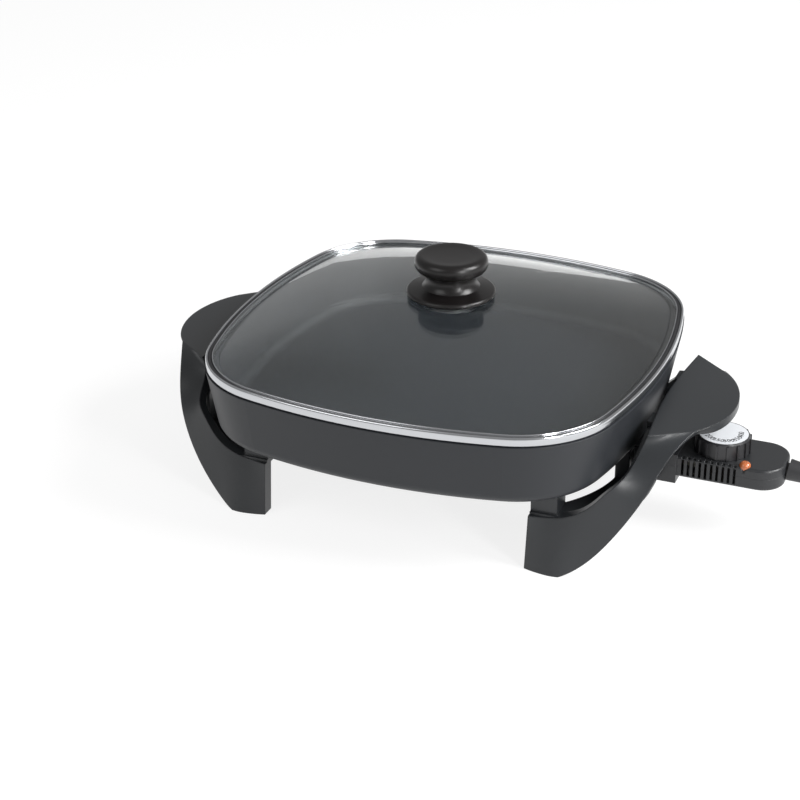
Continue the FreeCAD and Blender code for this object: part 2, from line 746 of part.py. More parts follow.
def handle_solid():
    leg = leg_solid()
    halves = [leg] + front_bracing()
    mirrored = [solid.mirror(Vector(), Vector(0, 1, 0)) for solid in halves]
    solid = halves[0].fuse([grip_solid()] + halves[1:] + mirrored)
    ground = Part.makeBox(600, 600, 50, Vector(-300, -300, -50))
    solid = solid.cut(ground)
    height = value("pan_base")
    low = value("flange_top - flange_thick")
    holes = []
    for x, y in (("front_screw_x", "front_screw_y"), ("side_screw_x", "side_screw_y")):
        for sign in (1, -1):
            centre = Vector(value(x), sign * value(y), low - 1)
            holes.append(Part.makeCylinder(value("screw_radius") + 0.1, height, centre))
            sink = value("screw_head_height") + 1.1
            holes.append(Part.makeCylinder(value("screw_head_radius") + 0.3, sink, centre))
    return solid.cut(Part.makeCompound(holes))


def make_handles():
    solid = handle_solid()
    if len(solid.Solids) != 1:
        raise RuntimeError("the handle is %d pieces" % len(solid.Solids))
    keep_shape(solid.Solids[0], "handle_right")
    other = solid.Solids[0].copy()
    other.rotate(Vector(), UP, 180)
    keep_shape(other, "handle_left")
    screws = []
    for index, (x, y) in enumerate(HANDLE_SCREWS):
        seat = "flange_top - flange_thick + 0.05"
        length = "pan_base - flange_top + flange_thick - screw_head_height + floor_thick - 2"
        screws.append(upward_screw("handle_screw_%d" % index, x, y, seat, length))
    keep(combine("Compound", "handle_screw_set", screws), "handle_screws")


# Lid glass: a flat border, then a dome that turns from the rim's outline into a circle.

LID_LOW = "pan_top + seat_gap"
GLASS_LOW = "pan_top + seat_gap + band_sheet + 0.2"
GLASS_INSET = "lid_inset + band_sheet + 0.4"


def square_wire(half, side, corner, height):
    edges = []
    for centre, radius, start, end in square_arcs(half, side, corner):
        circle = Part.Circle(Vector(centre.x, centre.y, height), UP, radius)
        edges.append(Part.ArcOfCircle(circle, start, end).toShape())
    return Part.Wire(edges)


def dome(inset, low, rise):
    """Loft a dome whose sections grow rounder towards its top."""
    half = value("rim_half") - inset
    wires = []
    for share in (1, 0.94, 0.8, 0.6, 0.38, 0.2):
        size = half * share
        roundness = (1 - share) ** 0.8
        side = (value("side_radius") - inset) * share * (1 - roundness) + 1.04 * size * roundness
        corner = (value("corner_radius") - inset) * share * (1 - roundness) + 0.96 * size * roundness
        wires.append(square_wire(size, side, corner, low + rise * (1 - share ** 2)))
    return Part.makeLoft(wires, True, False)


def make_lid_glass():
    inset = value(GLASS_INSET)
    low = value(GLASS_LOW)
    thick = value("glass_thick")
    rise = value("glass_rise")
    half = value("rim_half") - inset
    border = Part.Face(square_wire(half, value("side_radius") - inset, value("corner_radius") - inset, low))
    plate = border.extrude(Vector(0, 0, thick))
    over = dome(inset + value("glass_border"), low + thick, rise)
    under = over.copy()
    under.translate(Vector(0, 0, -thick))
    solid = plate.fuse(over).cut(under)
    hole = Part.makeCylinder(value("glass_hole"), rise + 60, Vector(0, 0, low - 10))
    keep_shape(solid.cut(hole).Solids[0], "lid_glass")


# Lid band: a rolled channel round the glass, with a skirt that drops inside the pan.

def make_lid_band():
    body = new_body("lid_band")
    rings = (("band_wall", LID_LOW, "lid_inset", "lid_inset + band_sheet", "band_height"),
             ("band_upper_lip", LID_LOW + " + band_height - band_sheet", "lid_inset", "lid_inset + band_lip",
              "band_sheet"),
             ("band_lower_lip", LID_LOW, "lid_inset", "lid_inset + band_lip + 0.5", "band_sheet"),
             ("band_skirt", LID_LOW + " - skirt_drop", "lid_inset + band_lip + 0.5 - band_sheet",
              "lid_inset + band_lip + 0.5", "skirt_drop + band_sheet"))
    for name, low, outer, inner, height in rings:
        ring = new_sketch(body, name, "XY_Plane", low)
        draw_offset_square(ring, outer)
        draw_offset_square(ring, inner)
        pad(body, ring, height)
    keep(body, "lid_band")


# Knob: a turned cap on a flared base, drawn together by one screw through the glass.

KNOB_LOW = "(pan_top + seat_gap + band_sheet + 0.2 + glass_thick + glass_rise * 0.96 + gasket_thick + 0.1)"


def make_knob():
    base = new_body("knob_base")
    profile = new_sketch(base, "knob_base_profile", "XZ_Plane")
    shoulder = KNOB_LOW + " + knob_base_height"
    draw(profile, [("knob_screw_radius + 0.2", KNOB_LOW), ("knob_base_radius - 1", KNOB_LOW),
                   ("knob_base_radius", KNOB_LOW + " + 1"),
                   ("knob_base_radius - 2", shoulder, "knob_base_radius - 0.4", KNOB_LOW + " + 0.8 * knob_base_height"),
                   ("knob_neck_radius + 2", shoulder + " + 2"),
                   ("knob_neck_radius", "knob_cap_bottom - 3", "knob_neck_radius - 0.5", shoulder + " + 6"),
                   ("knob_screw_radius + 0.2", "knob_cap_bottom - 3")])
    revolve(base, profile)
    keep(base, "knob_base")
    cap = new_body("knob_cap")
    profile = new_sketch(cap, "knob_cap_profile", "XZ_Plane")
    draw(profile, [("0", "knob_cap_bottom - 2.8"), ("knob_neck_radius + 0.5", "knob_cap_bottom - 2.8"),
                   ("knob_cap_radius - 1.5", "knob_cap_bottom", "knob_cap_radius - 4.5", "knob_cap_bottom - 1.7"),
                   ("knob_cap_radius - 2", "knob_top - 0.9", "knob_cap_radius", "knob_cap_bottom + 4.4"),
                   ("knob_cap_radius - 8", "knob_top", "knob_cap_radius - 4.8", "knob_top - 0.2"),
                   ("0", "knob_top")])
    revolve(cap, profile)
    hole = new_sketch(cap, "knob_insert_hole", "XY_Plane", "knob_cap_bottom - 2.8")
    draw_circle(hole, "0", "0", "knob_screw_radius + 0.1")
    pocket(cap, hole, "7", flip=True)
    keep(cap, "knob_cap")


def make_knob_fixings():
    gasket = new_body("knob_gasket")
    ring = new_sketch(gasket, "gasket_outline", "XY_Plane", GLASS_TOP + " + 0.05")
    draw_circle(ring, "0", "0", "gasket_radius")
    draw_circle(ring, "0", "0", "knob_screw_radius + 0.2")
    pad(gasket, ring, "gasket_thick")
    keep(gasket, "knob_gasket")
    washer = new_body("knob_washer")
    profile = new_sketch(washer, "washer_profile", "XZ_Plane")
    low = GLASS_TOP + " - glass_thick - washer_thick - 1.2"
    draw(profile, [("knob_screw_radius + 0.2", low), ("washer_radius - 1", low),
                   ("washer_radius", low + " + 1", "washer_radius - 0.3", low + " + 0.3"),
                   ("washer_radius", low + " + washer_thick"),
                   ("knob_screw_radius + 0.2", low + " + washer_thick")])
    revolve(washer, profile)
    keep(washer, "knob_washer")
    screw_low = low + " - screw_head_height - 0.05"
    head = cylinder("knob_screw_head", "screw_head_radius + 1", "screw_head_height", "0", "0", screw_low)
    shank = cylinder("knob_screw_shank", "knob_screw_radius", "knob_cap_bottom + 3.5 - (%s) - screw_head_height"
                     % screw_low, "0", "0", screw_low + " + screw_head_height")
    keep(combine("MultiFuse", "knob_screw_solid", [head, shank]), "knob_screw")


# Heat control housing: a lower and an upper shell that meet at the height of the probe.
# Each has a nose that fits in the terminal guard, a thicker collar, and a body with vents.

VENT_LAST = "(vent_start + (vent_count - 1) * vent_pitch)"


def control_outline(sketch, inset):
    """Draw the housing's plan: square towards the pan, rounded at its outer end."""
    half = "(control_half - (%s))" % inset
    far = "(control_reach - (%s))" % inset
    radius = "(control_corner - (%s))" % inset
    arc = "%s * (1 - cos(45))" % radius
    draw(sketch, [("collar_front - 1", "-" + half), ("%s - %s" % (far, radius), "-" + half),
                  (far, "-%s + %s" % (half, radius), "%s - %s" % (far, arc), "-%s + %s" % (half, arc)),
                  (far, "%s - %s" % (half, radius)),
                  ("%s - %s" % (far, radius), half, "%s - %s" % (far, arc), "%s - %s" % (half, arc)),
                  ("collar_front - 1", half)])


def shell_body(name, body_end, collar_end, nose_end):
    """Make one shell; the three ends are how far its body, collar and nose reach from the split."""
    down = name == "control_base"
    body = new_body(name)
    blocks = (("nose", "nose_tip", "collar_back + 1", "nose_half", nose_end),
              ("collar", "collar_back", "collar_front", "control_half + collar_extra", collar_end))
    for part, start, end, half, height in blocks:
        sketch = new_sketch(body, "%s_%s" % (name, part), "XY_Plane", "probe_height")
        draw_box(sketch, start, end, "-(%s)" % half, half)
        pad(body, sketch, height, down=down)
    outline = new_sketch(body, name + "_outline", "XY_Plane", "probe_height")
    control_outline(outline, "0")
    pad(body, outline, body_end, down=down)
    far = value("probe_height - (%s)" % body_end) if down else value("probe_height + " + body_end)
    front = value("collar_front")
    round_edges(body, name + "_round", "shell_wall",
                lambda edge: level(edge, far) and edge.BoundBox.XMax > front + 0.1)
    hollow = new_sketch(body, name + "_hollow", "XY_Plane", "probe_height")
    control_outline(hollow, "shell_wall")
    pocket(body, hollow, body_end + " - shell_wall", flip=not down)
    room = new_sketch(body, name + "_room", "XY_Plane", "probe_height")
    draw_box(room, "collar_back + shell_wall", "collar_front", "-nose_half", "nose_half")
    pocket(body, room, body_end + " - shell_wall", flip=not down)
    bores = new_sketch(body, name + "_bores", "YZ_Plane", "nose_tip")
    draw_circle(bores, "0", "probe_height", "probe_radius + 0.1")
    pocket(body, bores, "collar_back + shell_wall - nose_tip + 1", flip=True)
    for side, y in (("rear", "pin_offset"), ("front", "-pin_offset")):
        sleeve_bore = new_sketch(body, "%s_%s_sleeve_bore" % (name, side), "YZ_Plane", "nose_tip")
        draw_circle(sleeve_bore, y, "probe_height", "pin_radius + probe_gap + sleeve_wall + 0.1")
        pocket(body, sleeve_bore, "collar_back + shell_wall - nose_tip + 1", flip=True)
    outlet = new_sketch(body, name + "_outlet", "YZ_Plane", "control_reach - 2 * shell_wall")
    draw_circle(outlet, "0", "probe_height", "relief_tip_radius + 0.3")
    pocket(body, outlet, "3 * shell_wall", flip=True)
    return body


def cut_vents(body, name, low, high):
    """Cut a row of upright slots through both side walls."""
    slot = new_sketch(body, name + "_vent", "XZ_Plane")
    draw_box(slot, "vent_start - vent_width / 2", "vent_start + vent_width / 2", low, high)
    first = pocket(body, slot, "3 * control_half", middle=True)
    row = body.newObject("PartDesign::LinearPattern", name + "_vents")
    row.Originals = [first]
    row.Direction = (slot, ["H_Axis"])
    bind(row, Length=VENT_LAST + " - vent_start", Occurrences="vent_count")
    body.Tip = row
    return check_change(row, first, False)


def make_control_base():
    body = shell_body("control_base", "probe_height - control_bottom", "probe_height - collar_bottom",
                      "probe_height - nose_bottom")
    cut_vents(body, "base", "control_bottom + shell_wall", "probe_height + 1")
    posts = new_sketch(body, "screw_posts", "XY_Plane", "control_bottom + shell_wall")
    for x, y in CONTROL_SCREWS:
        draw_circle(posts, x, y, "screw_radius + 2")
    pad(body, posts, "probe_height - control_bottom - shell_wall")
    holes = new_sketch(body, "post_holes", "XY_Plane", "control_bottom")
    for x, y in CONTROL_SCREWS:
        draw_circle(holes, x, y, "screw_radius + 0.1")
    pocket(body, holes, "probe_height - control_bottom", flip=True)
    sinks = new_sketch(body, "screw_sinks", "XY_Plane", "collar_bottom")
    for x, y in CONTROL_SCREWS:
        draw_circle(sinks, x, y, "screw_head_radius + 0.3")
    pocket(body, sinks, "control_bottom - collar_bottom + screw_head_height + 0.1", flip=True)
    keep(body, "control_base")


def make_control_cover():
    body = shell_body("control_cover", "control_top - probe_height", "collar_top - probe_height",
                      "nose_top - probe_height")
    cut_vents(body, "cover", "probe_height - 1", "control_top - shell_wall")
    notch = new_sketch(body, "notch", "XY_Plane", "control_top")
    for side, low, high in (("rear", "control_half - 2.4", "control_half + 1"),
                            ("front", "-control_half - 1", "-control_half + 2.4")):
        draw_box(notch, "vent_start - vent_width / 2", "vent_start + vent_width / 2", low, high)
    first = pocket(body, notch, "1.2")
    row = body.newObject("PartDesign::LinearPattern", "notches")
    row.Originals = [first]
    row.Direction = (notch, ["H_Axis"])
    bind(row, Length=VENT_LAST + " - vent_start", Occurrences="vent_count")
    body.Tip = row
    check_change(row, first, False)
    posts = new_sketch(body, "cover_posts", "XY_Plane", "control_top - shell_wall")
    for x, y in CONTROL_SCREWS:
        draw_circle(posts, x, y, "screw_radius + 2")
    pad(body, posts, "control_top - shell_wall - probe_height - 0.1", down=True)
    holes = new_sketch(body, "cover_post_holes", "XY_Plane", "probe_height")
    for x, y in CONTROL_SCREWS:
        draw_circle(holes, x, y, "screw_radius + 0.1")
    pocket(body, holes, "control_top - shell_wall - probe_height - 0.5", flip=True)
    openings = new_sketch(body, "cover_openings", "XY_Plane", "control_top")
    draw_circle(openings, "dial_centre", "0", "shaft_radius + 0.3")
    draw_circle(openings, "lens_x", "-lens_y", "lens_radius + 0.2")
    pocket(body, openings, "2 * shell_wall")
    keep(body, "control_cover")


CONTROL_SCREWS = [(x, sign + "control_screw_y") for x in ("control_screw_in", "control_screw_out")
                  for sign in ("", "-")]


def make_control_screws():
    screws = []
    for index, (x, y) in enumerate(CONTROL_SCREWS):
        seat = "control_bottom"
        screws.append(upward_screw("control_screw_%d" % index, x, y, seat, "control_top - control_bottom - 6.5"))
    keep(combine("Compound", "control_screw_set", screws), "control_screws")


# Probe and thermostat: the rod carries the pan's heat to a leaf switch that the dial's shaft presses.

THERMOSTAT_BACK = "collar_front + 1"


def make_thermostat():
    rod = new_body("probe_rod")
    profile = new_sketch(rod, "probe_profile", "XY_Plane", "probe_height")
    draw(profile, [("probe_tip", "0"), (THERMOSTAT_BACK + " + 9", "0"), (THERMOSTAT_BACK + " + 9", "probe_radius"),
                   ("probe_tip + 1.5", "probe_radius"), ("probe_tip", "probe_radius - 1.5")])
    feature = rod.newObject("PartDesign::Revolution", "probe_turned")
    feature.Profile = profile
    feature.ReferenceAxis = (profile, ["H_Axis"])
    feature.Angle = 360
    check_change(feature, None, True)
    keep(rod, "probe_rod")
    block = boxed("switch_block_box", THERMOSTAT_BACK, "-8", "control_bottom + shell_wall + 0.1", "10", "16",
                  "control_top - control_bottom - 2 * shell_wall - 0.4")
    way = cylinder("switch_block_bore", "probe_radius + 0.1", "12", THERMOSTAT_BACK + " - 1", "0", "probe_height",
                   along_x=True)
    keep(combine("Cut", "switch_block_solid", [block, way]), "switch_block")
    leaves = []
    for name, z, reach in (("lower", "probe_height - 4.6", "dial_centre - 10"),
                           ("upper", "probe_height - 3.2", "dial_centre + 6")):
        strip = boxed(name + "_strip", THERMOSTAT_BACK + " + 10.1", "-3", z, reach + " - (%s + 10.1)" % THERMOSTAT_BACK,
                      "6", "0.5")
        point = cylinder(name + "_contact", "1.6", "0.6", "dial_centre - 13", "0",
                         z + (" + 0.4" if name == "lower" else " - 0.2"))
        leaves.append(combine("MultiFuse", name + "_leaf", [strip, point]))
    keep(leaves[0], "fixed_contact_leaf")
    keep(leaves[1], "moving_contact_leaf")
    sleeves = []
    for name, y in (("rear", "pin_offset"), ("front", "-pin_offset")):
        outer = cylinder(name + "_sleeve_outer", "pin_radius + probe_gap + sleeve_wall", "collar_back - nose_tip",
                         "nose_tip + 0.5", y, "probe_height", along_x=True)
        inner = cylinder(name + "_sleeve_inner", "pin_radius + probe_gap", "pin_reach - nose_tip + 1",
                         "nose_tip - 0.5", y, "probe_height", along_x=True)
        sleeves.append(combine("Cut", name + "_sleeve", [outer, inner]))
    keep(combine("Compound", "sleeves", sleeves), "contact_sleeves")


# Dial: a ribbed skirt with a pale face, turned on a shaft that reaches down to the moving leaf.

DIAL_LOW = "control_top + seat_gap"


def make_dial():
    body = new_body("dial_skirt")
    profile = new_sketch(body, "dial_profile", "XZ_Plane")
    top = DIAL_LOW + " + dial_height"
    draw(profile, [("shaft_radius + 0.05", DIAL_LOW), ("dial_radius - 0.8", DIAL_LOW),
                   ("dial_radius - 1.2", top + " - 1"), ("dial_radius - 1.8", top),
                   ("dial_face_radius + 0.1", top), ("dial_face_radius + 0.1", top + " - dial_face_thick"),
                   ("shaft_radius + 0.05", top + " - dial_face_thick")])
    revolve(body, profile)
    rib = new_sketch(body, "dial_rib", "XY_Plane", DIAL_LOW)
    draw_box(rib, "dial_radius - 2", "dial_radius", "-0.7", "0.7")
    first = pad(body, rib, "dial_height - 1.4")
    ring = body.newObject("PartDesign::PolarPattern", "dial_rib_ring")
    ring.Originals = [first]
    ring.Axis = (rib, ["N_Axis"])
    ring.Angle = 360
    bind(ring, Occurrences="dial_ribs")
    body.Tip = ring
    check_change(ring, first, True)
    keep(body, "dial_skirt")
    bind(body, Placement__Base__x=SHIFT + " + dial_centre")
    face = cylinder("dial_face_solid", "dial_face_radius", "dial_face_thick", "0", "0", top + " - dial_face_thick + 0.05")
    keep(face, "dial_face")
    bind(face, Placement__Base__x=SHIFT + " + dial_centre")
    low = "probe_height - 2.5"
    shaft = cylinder("dial_shaft_solid", "shaft_radius", top + " - dial_face_thick - (%s)" % low, "0", "0", low)
    keep(shaft, "dial_shaft")
    bind(shaft, Placement__Base__x=SHIFT + " + dial_centre")


def make_indicator():
    body = new_body("indicator_lens")
    profile = new_sketch(body, "lens_profile", "XZ_Plane")
    low = "control_top - shell_wall - 0.5"
    draw(profile, [("0", low), ("lens_radius", low), ("lens_radius", "control_top + 0.4"),
                   ("lens_radius * 0.3", "control_top + 3", "lens_radius * 0.76", "control_top + 2.1"),
                   ("0", "control_top + 3")])
    revolve(body, profile)
    keep(body, "indicator_lens")
    bind(body, Placement__Base__x=SHIFT + " + lens_x", Placement__Base__y="-lens_y + 0")
    lamp = cylinder("lamp_solid", "1.8", "4", "lens_x", "-lens_y + 1", "control_top - shell_wall - 5")
    keep(lamp, "indicator_lamp")
    bind(lamp, Placement__Base__x=SHIFT + " + lens_x")


# Cord set: a tapered relief in the housing's end wall, the cord, its coil and the plug.

RELIEF_ROOT = "control_reach + 0.3"


def relief_axis():
    dip = math.radians(value("relief_dip"))
    return Vector(math.cos(dip), 0, -math.sin(dip))


def make_strain_relief():
    height = value("probe_height")
    root = Vector(value(RELIEF_ROOT), 0, height)
    axis = relief_axis()
    lean = value("relief_root_radius") * math.tan(math.radians(value("relief_dip")))
    cone = Part.makeCone(value("relief_root_radius"), value("relief_tip_radius"),
                         value("relief_length"), root + Vector(lean, 0, 0), axis)
    neck_start = Vector(value("control_reach - 2 * shell_wall + 0.2"), 0, height)
    neck = Part.makeCylinder(value("relief_tip_radius"), value("2 * shell_wall") + 3, neck_start, Vector(1, 0, 0))
    half = value("control_top - shell_wall - probe_height") - 0.1
    flange = Part.makeBox(1.6, 12, 2 * half, neck_start - Vector(0, 6, half))
    keep_shape(cone.fuse([neck, flange]).Solids[0], "strain_relief")
    return root + Vector(lean, 0, 0) + axis * value("relief_length")


def make_cord(start):
    radius = value("cord_diameter") / 2
    floor = radius + 0.3
    axis = relief_axis()
    x, y = value("coil_x"), value("coil_y")
    ring = value("coil_radius")
    edge = x + ring
    lead = [start, start + axis * 26, Vector(start.x + 52, 3, start.z - 14), Vector(start.x + 71, 17, start.z - 29),
            Vector(edge - 1.5, 42, floor + 1.5), Vector(edge, y - 22, floor), Vector(edge, y, floor)]
    rise = value("coil_turns") * 2 * radius
    height = rise + 2 * radius
    top = floor + rise
    tail = [Vector(edge, y, top), Vector(edge - 0.5, y + 20, top - 0.5), Vector(edge - 4, y + 43, top - 7),
            Vector(edge - 12, y + 65, floor + 4), Vector(edge - 25, y + 83, floor + 5.5)]
    for name, points in (("cord", lead), ("cord_tail", tail)):
        radii = corner_radii(points)
        print(name, "radii", [round(number) for number in radii])
        wire = route_wire(points, radii)
        print(name, "length", round(wire.Length, 1))
        keep_shape(tube(wire, radius), name)
    centre = Vector(x, y, floor - radius)
    coil = Part.makeCylinder(ring + radius, height, centre).cut(Part.makeCylinder(ring - radius, height, centre))
    keep_shape(coil, "cord_coil")
    return tail[-1], (tail[-1] - tail[-2]).normalize()


def make_plug(start, direction):
    """Build the plug along +X from the origin, then turn it into line with the cord's end."""
    length, width, height = value("plug_length"), value("plug_width"), value("plug_height")
    wires = []
    for share, half_width, half_height in ((0, 6, 5), (0.55, 0.46 * width, 0.46 * height),
                                           (1, width / 2, height / 2)):
        cut = 0.4 * half_height
        quarter = [(half_width, half_height - cut), (half_width - cut, half_height)]
        outline = quarter + [(-y, z) for y, z in reversed(quarter)] + [(-y, -z) for y, z in quarter]
        outline += [(y, -z) for y, z in reversed(quarter)]
        corners = [Vector(share * length, y, z) for y, z in outline]
        wires.append(Part.makePolygon(corners + corners[:1]))
    body = Part.makeLoft(wires, True, True)
    spacing = value("blade_spacing")
    blades = []
    for side in (-1, 1):
        corner = Vector(length + 0.05, side * spacing / 2 - value("blade_thick") / 2, -value("blade_width") / 2)
        blades.append(Part.makeBox(value("blade_length"), value("blade_thick"), value("blade_width"), corner))
    level_way = Vector(direction.x, direction.y, 0).normalize()
    lift = Placement(start + level_way * (value("seat_gap") + 0.1), Rotation(Vector(1, 0, 0), level_way))
    for shapes, label in (([body], "plug_body"), (blades, "plug_blades")):
        for shape in shapes:
            shape.Placement = lift * shape.Placement
        keep_shape(Part.makeCompound(shapes), label)


def write_parts():
    doc.recompute()
    for thing in doc.Objects:
        if "Invalid" in thing.State or "Error" in thing.State:
            raise RuntimeError("%s failed" % thing.Name)
    for thing in subparts:
        if thing.Shape.isNull() or not thing.Shape.isValid():
            raise RuntimeError("%s has no sound shape" % thing.Label)
    os.makedirs("parts", exist_ok=True)
    for thing in subparts:
        thing.Shape.exportStep("parts/%s.step" % thing.Label)


make_pan()
make_heating_element()
make_terminals()
make_terminal_guard()
make_handles()
make_lid_glass()
make_lid_band()
make_knob()
make_knob_fixings()
make_control_base()
make_control_cover()
make_control_screws()
make_thermostat()
make_dial()
make_indicator()
cord_start = make_strain_relief()
plug_start, plug_direction = make_cord(cord_start)
make_plug(plug_start, plug_direction)
write_parts()
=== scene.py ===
import math
import bmesh
import bpy
from mathutils import Matrix, Vector


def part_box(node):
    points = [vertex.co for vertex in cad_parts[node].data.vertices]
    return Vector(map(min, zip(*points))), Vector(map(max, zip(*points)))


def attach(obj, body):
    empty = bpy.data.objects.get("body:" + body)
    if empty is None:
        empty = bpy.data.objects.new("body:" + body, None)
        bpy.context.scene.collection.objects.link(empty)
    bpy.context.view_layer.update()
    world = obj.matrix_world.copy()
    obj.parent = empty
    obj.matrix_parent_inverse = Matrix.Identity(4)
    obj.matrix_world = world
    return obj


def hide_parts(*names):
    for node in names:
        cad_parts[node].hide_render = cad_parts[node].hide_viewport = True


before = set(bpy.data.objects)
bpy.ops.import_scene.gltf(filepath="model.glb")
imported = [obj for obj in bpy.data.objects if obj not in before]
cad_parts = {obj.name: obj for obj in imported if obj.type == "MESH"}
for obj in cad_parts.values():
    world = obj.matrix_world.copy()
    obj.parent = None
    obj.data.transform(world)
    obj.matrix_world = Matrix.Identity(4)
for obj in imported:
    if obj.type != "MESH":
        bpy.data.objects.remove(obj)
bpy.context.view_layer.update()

# Camera: stands in front of the skillet and to its right, above it, looking down at the lid.
# It is level but for a small roll, and far enough away that the pan's sides hardly converge.
pan_shift = -0.019
camera_azimuth = math.radians(22.4137)
camera_elevation = math.radians(26.513)
camera_roll = math.radians(-0.2804)
camera_place = Vector((0.42987 + pan_shift, -1.13770, 0.66284))
camera_back = Vector((
    math.sin(camera_azimuth) * math.cos(camera_elevation),
    -math.cos(camera_azimuth) * math.cos(camera_elevation),
    math.sin(camera_elevation),
))
level_right = Vector((math.cos(camera_azimuth), math.sin(camera_azimuth), 0))
level_up = camera_back.cross(level_right)
camera_right = level_right * math.cos(camera_roll) + level_up * math.sin(camera_roll)
camera_up = level_up * math.cos(camera_roll) - level_right * math.sin(camera_roll)
camera_data = bpy.data.cameras.new("photo_camera")
camera_data.sensor_fit = "HORIZONTAL"
camera_data.sensor_width = 36
camera_data.lens = 84.186
camera_data.clip_end = 200
camera = bpy.data.objects.new("photo_camera", camera_data)
camera_turn = Matrix((camera_right, camera_up, camera_back)).transposed().to_4x4()
camera.matrix_world = Matrix.Translation(camera_place) @ camera_turn
bpy.context.scene.collection.objects.link(camera)
bpy.context.scene.camera = camera
bpy.context.scene.view_settings.view_transform = "Standard"


# Finishes: every surface is one procedural material. A signal is a value on its way through the
# material's nodes, so that a finish is written as sums; a finish holds the nodes and the shader.
class Signal:
    def __init__(self, finish, socket):
        self.finish = finish
        self.socket = socket

    def _sum(self, operation, first, second):
        return self.finish.node("ShaderNodeMath", {"operation": operation}, {0: first, 1: second})

    def __add__(self, other):
        return self._sum("ADD", self, other)

    def __radd__(self, other):
        return self._sum("ADD", other, self)

    def __sub__(self, other):
        return self._sum("SUBTRACT", self, other)

    def __rsub__(self, other):
        return self._sum("SUBTRACT", other, self)

    def __mul__(self, other):
        return self._sum("MULTIPLY", self, other)

    def __rmul__(self, other):
        return self._sum("MULTIPLY", other, self)


class Finish:
    def __init__(self, name, colour, roughness, **shine):
        self.material = bpy.data.materials.new(name)
        self.material.use_nodes = True
        self.tree = self.material.node_tree
        self.shader = self.tree.nodes["Principled BSDF"]
        self.output = self.tree.nodes["Material Output"]
        self.shader.inputs["Base Color"].default_value = (*colour, 1)
        self.shader.inputs["Roughness"].default_value = roughness
        for socket, level in shine.items():
            self.shader.inputs[socket.replace("_", " ")].default_value = level

    def node(self, kind, settings, values, output=0):
        """Add a node, set it, fill its sockets with values or signals, and give one output."""
        made = self.tree.nodes.new(kind)
        for name, setting in settings.items():
            setattr(made, name, setting)
        for socket, given in values.items():
            if isinstance(given, Signal):
                self.tree.links.new(given.socket, made.inputs[socket])
            else:
                made.inputs[socket].default_value = given
        return Signal(self, made.outputs[output])

    def drive(self, socket, signal):
        self.tree.links.new(signal.socket, self.shader.inputs[socket])

    def swap_surface(self, share, other_shader):
        """Show another shader in place of the first one, by a share from 0 to 1."""
        mix = self.node("ShaderNodeMixShader", {}, {0: share, 2: other_shader})
        self.tree.links.new(self.shader.outputs[0], mix.socket.node.inputs[1])
        self.tree.links.new(mix.socket, self.output.inputs["Surface"])

    def place(self):
        return self.node("ShaderNodeTexCoord", {}, {}, "Object")

    def noise(self, scale, detail, stretch=(1, 1, 1)):
        where = self.node("ShaderNodeMapping", {}, {"Vector": self.place(), "Scale": stretch})
        return self.node("ShaderNodeTexNoise", {},
                         {"Vector": where, "Scale": scale, "Detail": detail})

    def blend(self, share, low, high):
        """Mix two colours, each given as three numbers or as a signal."""
        low, high = (tone if isinstance(tone, Signal) else (*tone, 1) for tone in (low, high))
        return self.node("ShaderNodeMix", {"data_type": "RGBA"}, {0: share, 6: low, 7: high}, 2)

    def ramp(self, signal, low, high):
        return self.node("ShaderNodeMapRange", {},
                         {"Value": signal, "From Min": low, "From Max": high})

    def bump(self, height, strength, depth, edge=0.0):
        """Raise a fine relief, and round the sharp edges that the light sees by a small radius."""
        relief = {"Height": height, "Strength": strength, "Distance": depth}
        if edge:
            relief["Normal"] = self.node("ShaderNodeBevel", {"samples": 4}, {"Radius": edge})
        self.drive("Normal", self.node("ShaderNodeBump", {}, relief))

    def coat(self, *pieces):
        """Give this finish to nodes of the frame, by name, or to pieces made here."""
        for piece in pieces:
            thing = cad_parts[piece] if isinstance(piece, str) else piece
            thing.data.materials.clear()
            thing.data.materials.append(self.material)


# Cord: a round two-core lead with a smooth satin jacket, moulded into the control's tapered relief.
# It falls to the table, and what isn't needed is wound into a small neat coil beside its plug.
cord_thick = 0.007
cord_rest = 0.0038
coil_radius = 0.0375
coil_turns = 2
turn_steps = 16
coil_centre = Vector((0.330, 0.095, 0))
coil_edge = coil_centre.x + coil_radius
coil_top = cord_rest + coil_turns * cord_thick
plug_level = 0.0093
relief_root, relief_height = 0.2468, 0.0492
relief_root_radius = 0.0076
relief_length = 0.040
relief_dip = math.radians(6.5)
relief_way = Vector((math.cos(relief_dip), 0, -math.sin(relief_dip)))
relief_lean = relief_root_radius * math.tan(relief_dip)
cord_exit = Vector((relief_root + relief_lean, 0, relief_height)) + relief_way * relief_length
route = [
    cord_exit,
    cord_exit + relief_way * 0.026,
    Vector((cord_exit.x + 0.052, 0.003, cord_exit.z - 0.014)),
    Vector((cord_exit.x + 0.071, 0.017, cord_exit.z - 0.029)),
    Vector((coil_edge - 0.0015, 0.042, cord_rest + 0.0015)),
    Vector((coil_edge, coil_centre.y - 0.022, cord_rest)),
]
for step in range(coil_turns * turn_steps + 1):
    angle = step * 2 * math.pi / turn_steps
    climb = cord_rest + cord_thick * step / turn_steps
    route.append(coil_centre + Vector((coil_radius * math.cos(angle),
                                       coil_radius * math.sin(angle), climb)))
route += [
    Vector((coil_edge - 0.0005, coil_centre.y + 0.020, coil_top - 0.0005)),
    Vector((coil_edge - 0.004, coil_centre.y + 0.043, coil_top - 0.007)),
    Vector((coil_edge - 0.012, coil_centre.y + 0.065, cord_rest + 0.004)),
    Vector((coil_edge - 0.025, coil_centre.y + 0.083, plug_level)),
]
cord_curve = bpy.data.curves.new("mains_cord", "CURVE")
cord_curve.dimensions = "3D"
cord_curve.bevel_depth = cord_thick / 2
cord_curve.bevel_resolution = 5
cord_curve.resolution_u = 6
cord_curve.use_fill_caps = True
